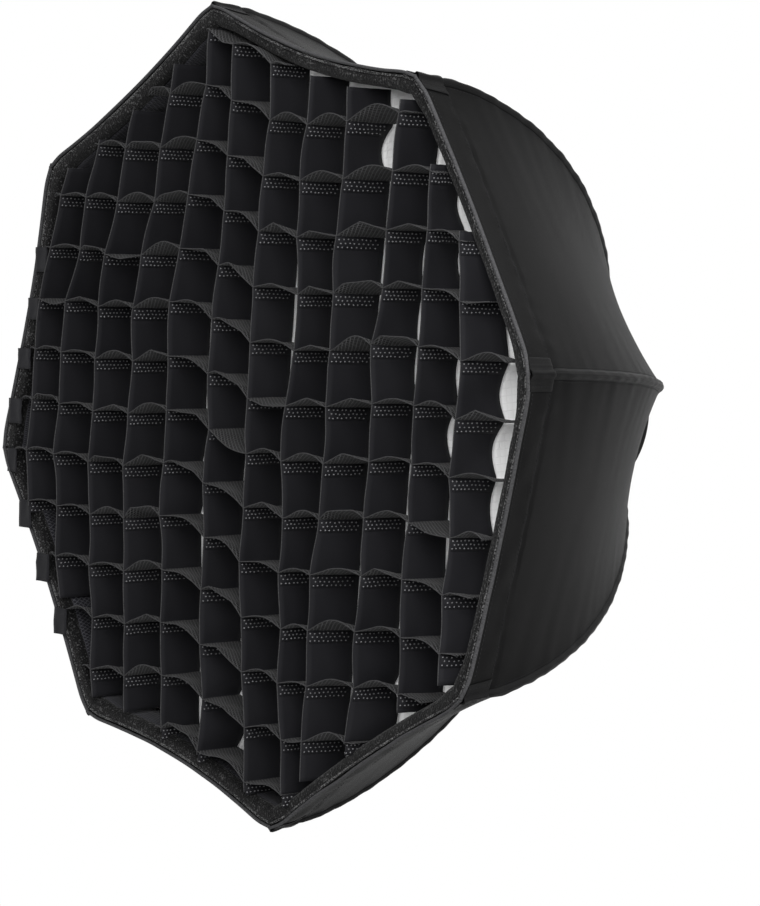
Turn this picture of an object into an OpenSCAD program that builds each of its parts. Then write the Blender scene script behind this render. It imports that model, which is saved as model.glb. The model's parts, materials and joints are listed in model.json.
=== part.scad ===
// Folding eight-rib octabox: a bayonet mount ring, a hub with eight hinged ribs, a sliding runner
// with eight struts, a sewn shell of eight panels, an inner diffuser and an egg-crate grid.
// The origin is the centre of the seat face. +Y points back to the lamp and +Z up through rib 1.

/* [Shell] */
// Distance from the axis to a front corner of the shell
front_r = 300; // [290:1:310]
// How far the centre of the rib arc lies past the axis
arc_past = 133; // [128:1:138]
// How far the centre of the rib arc lies ahead of the front plane
arc_ahead = 57; // [52:1:62]
// Fabric thickness
shell_t = 1.6; // [1.2:0.1:2]
// How far the middle of a panel is pulled in halfway back
panel_sag = 11; // [6:1:13]
// How far the middle of a front edge is pulled in
hem_sag = 7; // [4:1:9]
// How far the middle of a front edge is pulled back
hem_back = 2; // [0:0.5:3]
// Depth of the hem tape
hem_depth = 24; // [18:1:26]

/* [Ribs and struts] */
// Diameter of a rib rod
rib_d = 5; // [4.5:0.5:5]
// Distance from the axis to a rib's hinge pin
pivot_r = 56; // [56:0.5:57]
// How far a rib's hinge pin lies ahead of the seat face
pivot_depth = 26; // [25:0.5:27]
// Distance along the rib from its hinge pin to its strut bracket
bracket_at = 40; // [39:0.5:41]
// Distance from the axis to a strut's pin on the runner
strut_r = 55; // [55:0.5:56]
// How far the runner lies ahead of the seat face when open
runner_depth = 72; // [70:1:74]
// Diameter of the hinge pins
pin_d = 4; // [3.5:0.5:4]

/* [Mount] */
// Diameter of the light opening through the bayonet ring
bore_d = 74; // [73:1:75]
// Outer diameter of the bayonet spigot
spigot_d = 84; // [83:1:85]
// Length of the spigot behind the seat face
spigot_len = 10; // [9:1:12]
// Outer diameter of the mount flange
flange_d = 126; // [125:1:128]

/* [Front] */
// Depth of the grid strips
grid_depth = 38; // [35:1:39]
// How far the grid stands proud of the hem
grid_proud = 5; // [2:1:6]
// Spacing of the grid columns
column_pitch = 45; // [43:1:47]
// Spacing of the grid rows
row_pitch = 39.3; // [38:0.1:41]
// How far the columns lean clockwise, seen from the front
column_turn = 12; // [8:1:14]
// How far the rows drop clockwise, seen from the front
row_turn = 7.5; // [5:0.5:10]
// Thickness of a grid strip
strip_t = 1.2; // [1:0.1:1.4]

/* [Hidden] */
$fn = 48;

ribs = 8;
step = 360 / ribs;
half_step = step / 2;
run_gap = 0.06;          // radial running clearance of a pin
side_gap = 0.2;          // side clearance of a blade between two ears

// Rib arc: its radius, its centre and the angles where things sit, measured from straight outwards
rib_clear = 3;           // from a rod to the inside of the shell
shell_R = norm([front_r + arc_past, arc_ahead]);
rib_R = shell_R - shell_t - rib_clear - rib_d / 2;
pivot_a = acos((pivot_r + arc_past) / rib_R);
centre_y = -pivot_depth - rib_R * sin(pivot_a);
front_y = centre_y + arc_ahead;
front_a = asin(arc_ahead / shell_R);
back_r = 72;             // where the panels end, round the hub
back_a = acos((back_r + arc_past) / shell_R);
tip_setback = 9;
tip_a = asin((arc_ahead + tip_setback) / rib_R);
bracket_a = pivot_a - bracket_at / rib_R * 180 / PI;
socket_gap = 9;          // from the hinge pin to the end of the rod
socket_d = rib_d + 0.16; // bore of a fitting: straight, so a little wider than the curved rod
root_start = 2.6;        // the shank behind a rib's hinge eye, from the pin
root_len = 18;
root_w = 7;
cap_len = 14;
bracket_drop = 7;        // from a rod's centre in to the stub of its strut bracket
root_a = pivot_a - socket_gap / rib_R * 180 / PI;
tip_at = (pivot_a - tip_a) * rib_R * PI / 180;
pivot = [pivot_r, -pivot_depth];
bracket = on_arc(rib_R - bracket_drop, bracket_a);

// Strut: it joins the runner pin to the rib bracket
strut_pin = [strut_r, -runner_depth];
strut_v = bracket - strut_pin;
strut_len = norm(strut_v);
strut_a = atan2(strut_v[1], strut_v[0]);
blade_w = 6;             // width of every hinged blade
ear_t = 3;
eye_r = 5;
sleeve_r = 3.9;          // outside of the sleeves on a rib
fork_gap = 8.4;          // between the fork's ears at the rib end of a strut
fork_t = 1.8;
fork_top = 0.6;          // how far the ears reach past the rod's centre
fork_r = 8.2;
fork_hole_r = 5.5;         // oversize, because this pivot is the open one of the linkage
stub_d = 3.5;

// Hub and runner
wall_in = 46.6;
wall_out = 49.6;
flange_t = 6;
seat_r = 49;             // outside of the raised ring that the lamp's socket rests on
seat_rise = 1;
base_t = 6;
base_r = 61;
hub_front = 34;
runner_in = 38.2;
runner_out = 49.4;
runner_t = 12;
rod_r = 43.8;
rod_d = 5;
rod_len = 122;
bush_d = 7.6;
rod_angles = [for (i = [0:3]) half_step + 90 * i];
button_angles = [67.5, 247.5];
button_r = 55;
button_d = 5;
screw_r = 55.5;

// Front parts: corner radii of the outlines, inside the hem
border_r = 287;
border_t = 2;
strips_r = 284.2;
diffuser_r = 284;
corner_cut = 16;
slot_gap = 0.25;
diffuser_setback = 36;

black = [0.09, 0.09, 0.10];
metal = [0.72, 0.73, 0.75];
cloth_white = [0.93, 0.93, 0.92];

function on_arc(R, a) = [-arc_past + R * cos(a), centre_y + R * sin(a)];
function rib_angle(k) = 90 - step * (k - 1);

// Places children in the plane of a rib: X outwards, Y back, Z across the plane
module at_angle(a) rotate([0, -a, 0]) children();
module at_rib(k) at_angle(rib_angle(k)) children();

// Places children at a point of a rib's plane, turned by a in that plane
module in_plane(p, a = 0) translate([p[0], p[1], 0]) rotate([0, 0, a]) children();

// A ring or disc about the main axis, from y0 (front) to y1 (back)
module ring(r_out, r_in, y0, y1)
    translate([0, y1, 0]) rotate([90, 0, 0]) difference() {
        cylinder(r = r_out, h = y1 - y0, $fn = 96);
        if (r_in > 0) translate([0, 0, -1]) cylinder(r = r_in, h = y1 - y0 + 2, $fn = 96);
    }

// A round pin or hole parallel to the main axis, at a radius and an angle
module axial(r, a, d, y0, y1)
    at_angle(a) translate([r, y1, 0]) rotate([90, 0, 0]) cylinder(d = d, h = y1 - y0);

// An outline given in the front view, from y0 (front) to y1 (back)
module slab(y0, y1)
    translate([0, y1, 0]) rotate([90, 0, 0]) linear_extrude(y1 - y0) children();

// A pin across a rib's plane
module cross_pin(p, d, w) in_plane(p) cylinder(d = d, h = w, center = true);

// The rod of a rib, between two angles of its arc
module rod(d, a0, a1)
    translate([-arc_past, centre_y, 0])
        rotate_extrude(angle = a1 - a0, start = a0) translate([rib_R, 0]) circle(d = d);

// ---- Rear mount ----

module mount_ring() color(black) difference() {
    union() {
        ring(flange_d / 2, spigot_d / 2, -flange_t, -seat_rise);
        ring(seat_r, spigot_d / 2, -flange_t, 0);
    }
    for (a = rod_angles) {
        axial(rod_r, a, rod_d, -flange_t - 1, -2);
        axial(screw_r, a, 4.2, -flange_t - 1, 1);
        axial(screw_r, a, 7.4, -2.1, 1);
    }
    for (a = button_angles) axial(button_r, a, button_d + 2 * run_gap, -flange_t - 1, 1);
}

module bayonet_ring() color(metal) {
    difference() {
        ring(spigot_d / 2, bore_d / 2, -flange_t, spigot_len);
        for (a = rod_angles) axial(rod_r, a, rod_d, -flange_t - 1, -2);
    }
    for (a = [0:120:240]) lug(a + 30);
}

module lug(a) intersection() {
    ring(spigot_d / 2 + 4, spigot_d / 2, spigot_len - 5, spigot_len - 1.5);
    at_angle(a) translate([spigot_d / 2, spigot_len / 2, 0]) cube([20, 30, 16], center = true);
}

module ring_screws() color(metal) for (a = rod_angles) {
    axial(screw_r, a, 7.2, -2, -0.1);
    axial(screw_r, a, 4, -11, -2);
}

module collar_band() color(black) ring(flange_d / 2 + 3.5, flange_d / 2, -16, -2);

module rear_skirt() color(black) rotate([-90, 0, 0]) rotate_extrude($fn = 96) {
    edge = flange_d / 2 + 3.5;
    polygon([[edge, -3], [edge, -16.5], [edge + 8.6, -26], [edge + 10, -25], [edge + 1.6, -15.5],
        [edge + 1.6, -3]]);
}

// ---- Hub and runner ----

module clevis(p, foot) for (side = [-1, 1])
    translate([0, 0, side * (blade_w / 2 + side_gap + ear_t / 2)]) {
        in_plane(p) cylinder(r = eye_r, h = ear_t, center = true);
        translate([foot, p[1] - eye_r, -ear_t / 2]) cube([p[0] - foot, 2 * eye_r, ear_t]);
    }

module hub_ring() color(black) difference() {
    union() {
        ring(wall_out, wall_in, -hub_front, -flange_t);
        ring(base_r, wall_in, -flange_t - base_t, -flange_t);
        for (k = [1:ribs]) at_rib(k) {
            clevis(pivot, wall_out - 1);
            for (side = [-1, 1])
                translate([wall_out - 1, pivot[1], side * (blade_w / 2 + side_gap + ear_t / 2) - ear_t / 2])
                    cube([base_r - wall_out - 1, -pivot[1] - flange_t - 1, ear_t]);
        }
    }
    for (k = [1:ribs]) at_rib(k) cross_pin(pivot, pin_d, 30);
    for (a = rod_angles) axial(screw_r, a, 4, -30, 0);
    for (a = button_angles) axial(button_r, a, button_d + 2 * run_gap, -30, 0);
}

module pin_set(p, w) for (k = [1:ribs]) at_rib(k) {
    cross_pin(p, pin_d, w);
    for (side = [-1, 1]) in_plane(p) translate([0, 0, side * (w / 2 + 0.5)])
        cylinder(d = pin_d + 2, h = 1, center = true);
}

module rib_pins() color(metal) pin_set(pivot, blade_w + 2 * (side_gap + ear_t));

module guide_rods() color(metal) for (a = rod_angles) {
    axial(rod_r, a, rod_d, -rod_len, -2);
    axial(rod_r, a, rod_d + 3.5, -rod_len - 3, -rod_len);
}

module runner_ring() color(black) difference() {
    union() {
        ring(runner_out, runner_in, -runner_depth - runner_t / 2, -runner_depth + runner_t / 2);
        for (k = [1:ribs]) at_rib(k) clevis(strut_pin, runner_out - 1);
    }
    for (k = [1:ribs]) at_rib(k) cross_pin(strut_pin, pin_d, 30);
    for (a = rod_angles) axial(rod_r, a, bush_d, -runner_depth - runner_t, -runner_depth + runner_t);
}

module runner_bushes() color([0.8, 0.76, 0.6]) for (a = rod_angles) difference() {
    axial(rod_r, a, bush_d, -runner_depth - runner_t / 2, -runner_depth + runner_t / 2);
    axial(rod_r, a, rod_d + 2 * run_gap, -runner_depth - runner_t, -runner_depth + runner_t);
}

module strut_pins() color(metal) pin_set(strut_pin, blade_w + 2 * (side_gap + ear_t));

module latch_leaves() color(metal) for (a = button_angles) at_angle(a) {
    translate([wall_out, -32, -4]) cube([1.8, 18, 8]);
    translate([wall_out + 0.8, -86, -4]) cube([1, 60, 8]);
    translate([wall_out + 0.1, -84, -4]) cube([1, 2, 8]);
    translate([wall_out + 1.2, -25, -4]) cube([6, 1, 8]);
}

module release_button(n) color([0.75, 0.12, 0.1]) {
    axial(button_r, button_angles[n - 1], button_d, -20.5, 5);
    axial(button_r, button_angles[n - 1], 10, 5, 8.5);
}

// ---- Springs: a round wire swept along a helix ----

wire_d = 0.6;
spring_r = 3.6;
spring_turns = 4;
spring_steps = 64;
spring_sides = 6;
spring_y = 0.4;
spring_len = 4.1;
function helix_point(i, j) =
    let (turn = 360 * spring_turns * i / spring_steps, side = 360 * j / spring_sides,
        r = spring_r + wire_d / 2 * cos(side))
    [r * cos(turn), spring_y + spring_len * i / spring_steps + wire_d / 2 * sin(side), r * sin(turn)];

module spring() polyhedron(
    points = [for (i = [0:spring_steps]) for (j = [0:spring_sides - 1]) helix_point(i, j)],
    faces = concat(
        [[for (j = [0:spring_sides - 1]) j]],
        [[for (j = [spring_sides - 1:-1:0]) spring_steps * spring_sides + j]],
        [for (i = [0:spring_steps - 1]) for (j = [0:spring_sides - 1])
            let (n = (j + 1) % spring_sides, here = i * spring_sides, next = here + spring_sides)
            each [[here + j, next + j, here + n], [here + n, next + j, next + n]]]));

module button_springs() color(metal) for (a = button_angles)
    at_angle(a) translate([button_r, 0, 0]) spring();

// ---- Ribs and struts ----

module rib(k) color([0.2, 0.2, 0.22]) at_rib(k) rod(rib_d, tip_a, root_a);

// Places children on a rib's arc, some way along it from its hinge pin, with Y along the rib
module along_rib(length)
    let (a = pivot_a - length / rib_R * 180 / PI) in_plane(on_arc(rib_R, a), a) children();

// A straight round bar or bore along a rib
module on_rib(d, length) rotate([90, 0, 0]) cylinder(d = d, h = length, center = true);

module root_eye() difference() {
    union() {
        in_plane(pivot) cylinder(r = eye_r, h = blade_w, center = true);
        along_rib((root_start + root_len) / 2)
            cube([root_w, root_len - root_start, blade_w], center = true);
    }
    along_rib((socket_gap + root_len) / 2) on_rib(socket_d, root_len - socket_gap + 0.4);
    cross_pin(pivot, pin_d + 2 * run_gap, 30);
}

module strut_bracket() along_rib(bracket_at) difference() {
    union() {
        on_rib(2 * sleeve_r, 11);
        translate([-bracket_drop, 0, 0]) {
            cylinder(d = stub_d, h = fork_gap + 2 * fork_t, center = true);
            cylinder(d = 2 * sleeve_r, h = fork_gap - 1, center = true);
        }
    }
    on_rib(socket_d, 30);
}

module tip_cap() along_rib(tip_at - cap_len / 2) {
    difference() {
        on_rib(2 * sleeve_r, cap_len);
        on_rib(socket_d, cap_len + 1);
    }
    translate([0, -cap_len / 2, 0]) difference() {
        sphere(r = sleeve_r);
        translate([-10, 0, -10]) cube(20);
    }
}

// The root eye, the strut bracket and the tip cap that are pressed onto one rib
module rib_fittings(k) color(black) at_rib(k) {
    root_eye();
    strut_bracket();
    tip_cap();
}

module strut(k) color(black) at_rib(k) difference() {
    union() in_plane(strut_pin, strut_a) {
        cylinder(r = eye_r - 0.5, h = blade_w, center = true);
        translate([0, -2.5, -blade_w / 2]) cube([strut_len - 12, 5, blade_w]);
        translate([strut_len - 16, -2.5, -fork_gap / 2 - fork_t]) cube([4, 5, fork_gap + 2 * fork_t]);
        for (side = [-1, 1]) translate([0, 0, side * (fork_gap + fork_t) / 2]) {
            translate([strut_len - 16, -2.5, -fork_t / 2]) cube([12, 5, fork_t]);
            translate([strut_len, 0, 0]) cylinder(r = fork_r, h = fork_t, center = true);
        }
    }
    cross_pin(strut_pin, pin_d + 2 * run_gap, 30);
    cross_pin(bracket, 2 * fork_hole_r, 30);
    in_plane(bracket, bracket_a) translate([bracket_drop + fork_top, -20, -20]) cube(40);
}

// ---- Sewn shell ----

// A point of the shell between the rib at angle 0 and the next one clockwise. f runs from the
// front edge to the back, w across the panel, and inset is measured inwards from the outside.
function shell_point(f, w, inset) =
    let (p = on_arc(shell_R - inset, front_a + f * (back_a - front_a)),
        hollow = 4 * w * (1 - w),
        pull = (panel_sag * 4 * f * (1 - f) + hem_sag * (1 - f)) * hollow)
    [p[0] * (1 - w + w * cos(step)) - pull * cos(half_step),
        p[1] + hem_back * (1 - f) * hollow,
        -p[0] * w * sin(step) + pull * sin(half_step)];

// How much of the way across a panel a trim in millimetres is
function trim_share(f, trim) =
    trim / (2 * sin(half_step) * on_arc(shell_R, front_a + f * (back_a - front_a))[0]);

// A closed sheet that follows the shell from f0 to f1, between two insets
module sheet(f0, f1, nf, nw, inset0, inset1, trim) {
    rows = nf + 1;
    cols = nw + 1;
    size = rows * cols;
    points = [for (inset = [inset0, inset1]) for (i = [0:nf]) for (j = [0:nw])
        let (f = f0 + (f1 - f0) * i / nf, e = trim_share(f, trim), w = e + (1 - 2 * e) * j / nw)
        shell_point(f, w, inset)];
    quads = concat(
        [for (i = [0:nf - 1]) for (j = [0:nw - 1]) let (p = i * cols + j)
            [p, p + cols, p + cols + 1, p + 1]],
        [for (i = [0:nf - 1]) for (j = [0:nw - 1]) let (p = size + i * cols + j)
            [p, p + 1, p + cols + 1, p + cols]],
        [for (j = [0:nw - 1]) [j, j + 1, j + 1 + size, j + size]],
        [for (j = [0:nw - 1]) let (p = nf * cols + j) [p, p + size, p + 1 + size, p + 1]],
        [for (i = [0:nf - 1]) let (p = i * cols) [p, p + size, p + cols + size, p + cols]],
        [for (i = [0:nf - 1]) let (p = i * cols + nw) [p, p + cols, p + cols + size, p + size]]);
    polyhedron(points, [for (q = quads) each [[q[0], q[1], q[2]], [q[0], q[2], q[3]]]]);
}

arc_len = shell_R * (back_a - front_a) * PI / 180;
hem_gap = 0.5;

module panel(k) color(black) at_rib(k) sheet(0, 1, 14, 8, 0, shell_t, 0.4);

module hem(k) color([0.05, 0.05, 0.05]) at_rib(k)
    sheet(2 / arc_len, hem_depth / arc_len, 2, 8, shell_t + hem_gap, shell_t + hem_gap + 2.2, 9);

// ---- Diffuser and grid ----

// An octagon with its edges pulled in and its corners cut off, in the front view
function outline(r, pulled) =
    let (cut = corner_cut / (2 * r * sin(half_step)), n = 8)
    [for (k = [1:ribs]) for (j = [0:n])
        let (w = cut + (1 - 2 * cut) * j / n, a = rib_angle(k), pull = 4 * w * (1 - w) * pulled)
        [r * ((1 - w) * cos(a) + w * cos(a - step)) - pull * cos(a - half_step),
            r * ((1 - w) * sin(a) + w * sin(a - step)) - pull * sin(a - half_step)]];

module outline_ring(r_out, r_in) difference() {
    polygon(outline(r_out, hem_sag));
    polygon(outline(r_in, hem_sag));
}

module diffuser_panel() color(cloth_white)
    slab(front_y + diffuser_setback, front_y + diffuser_setback + 1)
        polygon(outline(diffuser_r, hem_sag));

module diffuser_border() color(black)
    slab(front_y + diffuser_setback + 1, front_y + diffuser_setback + 4)
        outline_ring(diffuser_r, diffuser_r - 20);

grid_front = front_y - grid_proud;
grid_back = grid_front + grid_depth;
grid_mid = (grid_front + grid_back) / 2;
column_shift = 6;
row_shift = 12.5;

module grid_border() color([0.05, 0.05, 0.05])
    slab(front_y + 3, grid_back - 1) outline_ring(border_r, border_r - border_t);

module columns(t) rotate(-column_turn) for (i = [-6:6])
    translate([i * column_pitch + column_shift, 0]) square([t, 3 * front_r], center = true);

module rows(t) rotate(-row_turn) for (i = [-7:6])
    translate([0, i * row_pitch + row_shift]) square([3 * front_r, t], center = true);

module strips() intersection() {
    children();
    polygon(outline(strips_r, hem_sag));
}

// The strips cross in half-lap slots: columns are notched from behind and rows from in front
module grid_columns() color(black) difference() {
    slab(grid_front, grid_back) strips() columns(strip_t);
    slab(grid_mid - slot_gap, grid_back + 1) rows(strip_t + 2 * slot_gap);
}

module grid_rows() color(black) difference() {
    slab(grid_front, grid_back) strips() rows(strip_t);
    slab(grid_front - 1, grid_mid + slot_gap) columns(strip_t + 2 * slot_gap);
}

mount_ring();
bayonet_ring();
hub_ring();
ring_screws();
guide_rods();
rib_pins();
latch_leaves();
collar_band();
rear_skirt();
button_springs();
for (n = [1:2]) release_button(n);
runner_ring();
runner_bushes();
strut_pins();
for (k = [1:ribs]) {
    strut(k);
    rib(k);
    rib_fittings(k);
    panel(k);
    hem(k);
}
diffuser_panel();
diffuser_border();
grid_border();
grid_columns();
grid_rows();
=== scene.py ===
"""The looks of a folding octabox: sewn shell, hook-and-loop hem, diffuser, egg-crate grid and mount.

Lengths are in millimetres and are turned into metres where a mesh is made. Angles are in degrees.
The axes are the CAD model's: +Y points back to the lamp, +Z up through rib 1.
"""

import json
import random
from math import acos, asin, atan2, ceil, cos, exp, floor, hypot, pi, radians, sin, tan

import bpy
from mathutils import Matrix, Vector, noise


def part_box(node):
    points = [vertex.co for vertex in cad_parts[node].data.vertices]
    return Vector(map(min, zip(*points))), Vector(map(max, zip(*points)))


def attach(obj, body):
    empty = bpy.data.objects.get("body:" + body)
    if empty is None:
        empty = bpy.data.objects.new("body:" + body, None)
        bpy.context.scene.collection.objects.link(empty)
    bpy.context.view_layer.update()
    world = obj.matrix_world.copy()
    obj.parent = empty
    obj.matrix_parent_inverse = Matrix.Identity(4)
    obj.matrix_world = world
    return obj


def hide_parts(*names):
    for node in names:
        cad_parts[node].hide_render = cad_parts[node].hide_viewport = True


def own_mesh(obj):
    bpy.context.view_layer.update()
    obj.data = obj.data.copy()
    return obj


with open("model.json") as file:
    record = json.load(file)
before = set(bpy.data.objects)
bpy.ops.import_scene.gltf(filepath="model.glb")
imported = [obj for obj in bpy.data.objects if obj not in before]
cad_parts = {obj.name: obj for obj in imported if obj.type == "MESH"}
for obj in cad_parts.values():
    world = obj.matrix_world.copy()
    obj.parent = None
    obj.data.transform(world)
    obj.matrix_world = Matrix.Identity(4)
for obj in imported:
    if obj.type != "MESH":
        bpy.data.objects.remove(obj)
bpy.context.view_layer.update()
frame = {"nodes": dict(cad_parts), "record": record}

MM = 0.001
RIBS = 8
STEP = 360 / RIBS
HALF = STEP / 2

# ---- Driving sizes, from the frame and from the design of the shell ----

panel_low, panel_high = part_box("panel_1")
grid_low, grid_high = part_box("grid_columns")
FRONT_R = panel_high.z / MM          # from the axis to a front corner
FRONT_Y = panel_low.y / MM           # the front corners
ARC_PAST = 133                       # the centre of the rib arc past the axis
ARC_AHEAD = 57                       # and ahead of the front plane
BACK_R = 72                          # where the panels end, round the hub
PANEL_SAG = 11
SHELL_R = hypot(FRONT_R + ARC_PAST, ARC_AHEAD)
CENTRE_Y = FRONT_Y - ARC_AHEAD
FRONT_A = asin(ARC_AHEAD / SHELL_R)
BACK_A = acos((BACK_R + ARC_PAST) / SHELL_R)
ARC_LEN = SHELL_R * (BACK_A - FRONT_A)
HEM_SAG = [13, 5, 5, 7, 10, 3, 3, 6]       # how far each front edge is pulled in
HEM_BACK = [2, 9, 8, 4, 2, 2, 2, 2]        # and pulled back, at its middle
HEM_FOLDS = [0.6, 0.4, 0.7, 2.4, 1.2, 0.6, 0.6, 0.6]   # height of the loose folds along each hem
CORNER_ROUND = 3.2                   # how far a corner is rounded in
HEM_SEAM = 27                        # from the hem to the seam that runs along it
COVER_T = 0.8
LINING_T = 0.5
LINING_GAP = 0.8

GRID_FRONT = grid_low.y / MM
GRID_BACK = grid_high.y / MM
GRID_DEPTH = GRID_BACK - GRID_FRONT
STRIPS_R = 284.2
COLUMN_PITCH, COLUMN_TURN, COLUMN_SHIFT = 45, 12, 6
ROW_PITCH, ROW_TURN, ROW_SHIFT = 39.3, 7.5, 12.5
STRIP_T = 0.8
EDGE_R = 0.4                         # the bound front edge of a strip
STITCH_PITCH = 3.6
DIFFUSER_R = 283.6


def rib_angle(k):
    return 90 - STEP * (k - 1)


# ---- Mesh helpers ----

def add(name, points, faces, material, smooth=True, uv=None):
    """A mesh object from points in millimetres. uv is one pair in millimetres for each point."""
    mesh = bpy.data.meshes.new(name)
    mesh.from_pydata([Vector(p) * MM for p in points], [], faces)
    mesh.update()
    if smooth:
        mesh.shade_smooth()
    if uv:
        layer = mesh.uv_layers.new(name="cloth")
        for loop in mesh.loops:
            layer.data[loop.index].uv = uv[loop.vertex_index]
    mesh.materials.append(material)
    piece = bpy.data.objects.new(name, mesh)
    bpy.context.scene.collection.objects.link(piece)
    return piece


def lattice(rows, cols, closed_cols=False, start=0):
    """The quads of a lattice of points, row by row."""
    last = cols if closed_cols else cols - 1
    return [
        [start + i * cols + j, start + i * cols + (j + 1) % cols,
         start + (i + 1) * cols + (j + 1) % cols, start + (i + 1) * cols + j]
        for i in range(rows - 1) for j in range(last)
    ]


def solidify(piece, thickness, offset=-1.0):
    modifier = piece.modifiers.new("thickness", "SOLIDIFY")
    modifier.thickness = thickness * MM
    modifier.offset = offset
    modifier.use_even_offset = False
    return piece


def outfit(piece, body):
    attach(piece, body)
    return piece


class Bag:
    """Gathers many small solids into the points and faces of one mesh."""

    def __init__(self):
        self.points = []
        self.faces = []

    def stitch(self, at, along, across, out, length, width, height):
        """A low eight-sided bead of thread."""
        start = len(self.points)
        self.points += [
            at - along * length / 2, at + across * width / 2, at + along * length / 2,
            at - across * width / 2, at + out * height, at - out * height * 0.6,
        ]
        for i in range(4):
            a, b = start + i, start + (i + 1) % 4
            self.faces.append([b, a, start + 4])
            self.faces.append([a, b, start + 5])

    def tube(self, path, radius, sides=6, flat=1.0):
        """A closed tube along a path, flat times as wide along the Y axis as it is thick."""
        start = len(self.points)
        n = len(path)
        for i, p in enumerate(path):
            ahead = (path[min(i + 1, n - 1)] - path[max(i - 1, 0)]).normalized()
            first = Vector((0, 1, 0))
            first = (first - ahead * first.dot(ahead)).normalized()
            second = ahead.cross(first)
            for s in range(sides):
                a = 2 * pi * s / sides
                self.points.append(p + first * cos(a) * radius * flat + second * sin(a) * radius)
        self.faces += lattice(n, sides, True, start)
        self.faces.append([start + s for s in range(sides - 1, -1, -1)])
        self.faces.append([start + (n - 1) * sides + s for s in range(sides)])

    def add(self, name, material, smooth=True):
        return add(name, self.points, self.faces, material, smooth)


# ---- Material helpers ----

def new_material(name, colour, roughness, metallic=0.0, gloss=0.5):
    material = bpy.data.materials.new(name)
    material.use_nodes = True
    shader = material.node_tree.nodes["Principled BSDF"]
    shader.inputs["Base Color"].default_value = (*colour, 1)
    shader.inputs["Roughness"].default_value = roughness
    shader.inputs["Metallic"].default_value = metallic
    shader.inputs["Specular IOR Level"].default_value = gloss
    return material, material.node_tree, shader


def node(tree, kind, **values):
    made = tree.nodes.new(kind)
    for key, value in values.items():
        if key in made.inputs:
            made.inputs[key].default_value = value
        else:
            setattr(made, key, value)
    return made


def math_node(tree, operation, a, b=None):
    made = tree.nodes.new("ShaderNodeMath")
    made.operation = operation
    for socket, value in zip(made.inputs, (a, b)):
        if value is None:
            continue
        if isinstance(value, (int, float)):
            socket.default_value = value
        else:
            tree.links.new(value, socket)
    return made.outputs[0]


def noise_node(tree, scale, detail=2.0, stretch=(1, 1, 1)):
    place = tree.nodes.new("ShaderNodeTexCoord")
    mapping = node(tree, "ShaderNodeMapping", Scale=stretch)
    tree.links.new(place.outputs["Object"], mapping.inputs["Vector"])
    made = node(tree, "ShaderNodeTexNoise", Scale=scale, Detail=detail)
    tree.links.new(mapping.outputs["Vector"], made.inputs["Vector"])
    return made.outputs["Fac"]


def ramp(tree, value, stops):
    """A colour ramp of (place, colour) stops."""
    made = tree.nodes.new("ShaderNodeValToRGB")
    tree.links.new(value, made.inputs["Fac"])
    elements = made.color_ramp.elements
    while len(elements) < len(stops):
        elements.new(0.5)
    for element, (place, colour) in zip(elements, stops):
        element.position = place
        element.color = (*colour, 1)
    return made.outputs["Color"]


def bump(tree, shader, height, distance):
    made = node(tree, "ShaderNodeBump", Strength=1.0, Distance=distance)
    tree.links.new(height, made.inputs["Height"])
    tree.links.new(made.outputs["Normal"], shader.inputs["Normal"])


def cloth_uv(tree):
    """The cloth's own coordinates, in millimetres, as U and V."""
    made = node(tree, "ShaderNodeUVMap", uv_map="cloth")
    parts = tree.nodes.new("ShaderNodeSeparateXYZ")
    tree.links.new(made.outputs["UV"], parts.inputs[0])
    return parts.outputs["X"], parts.outputs["Y"]


def wave(tree, value, pitch):
    """A sine from 0 to 1 that repeats every pitch."""
    turned = math_node(tree, "SINE", math_node(tree, "MULTIPLY", value, 2 * pi / pitch))
    return math_node(tree, "ADD", math_node(tree, "MULTIPLY", turned, 0.5), 0.5)


def grey(level, blue=0.0):
    return (level, level, level * (1 + blue))


# ---- Materials ----

def woven_cloth(name, dark, light, roughness, pitch, sheen, depth=0.00006, gloss=0.12):
    """A tight plain weave, with cloudy changes of tone."""
    material, tree, shader = new_material(name, dark, roughness, gloss=gloss)
    u, v = cloth_uv(tree)
    threads = math_node(tree, "MULTIPLY", wave(tree, u, pitch), wave(tree, v, pitch))
    cloud = noise_node(tree, 9.0, 3.0)
    tone = math_node(tree, "ADD", math_node(tree, "MULTIPLY", cloud, 0.8),
                     math_node(tree, "MULTIPLY", threads, 0.35))
    tree.links.new(ramp(tree, tone, [(0.25, dark), (0.85, light)]), shader.inputs["Base Color"])
    rough = math_node(tree, "ADD", math_node(tree, "MULTIPLY", cloud, 0.16), roughness - 0.08)
    tree.links.new(rough, shader.inputs["Roughness"])
    shader.inputs["Sheen Weight"].default_value = sheen
    shader.inputs["Sheen Roughness"].default_value = 0.4
    bump(tree, shader, threads, depth)
    return material


def mesh_cloth(name, dark, light, pitch):
    """A knitted mesh: two sets of slanting threads over dark holes, the threads painted lighter as a
    highlight.
    """
    material, tree, shader = new_material(name, dark, 0.75, gloss=0.1)
    u, v = cloth_uv(tree)
    one = wave(tree, math_node(tree, "ADD", u, math_node(tree, "MULTIPLY", v, 0.55)), pitch)
    two = wave(tree, math_node(tree, "SUBTRACT", u, math_node(tree, "MULTIPLY", v, 0.55)), pitch)
    threads = math_node(tree, "MAXIMUM", one, two)
    # Painted highlight: the raised threads are painted lighter than the dark holes, as if catching the
    # light.
    tree.links.new(ramp(tree, threads, [(0.78, dark), (0.99, light)]), shader.inputs["Base Color"])
    shader.inputs["Sheen Weight"].default_value = 0.04
    bump(tree, shader, threads, 0.0003)
    return material


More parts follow.
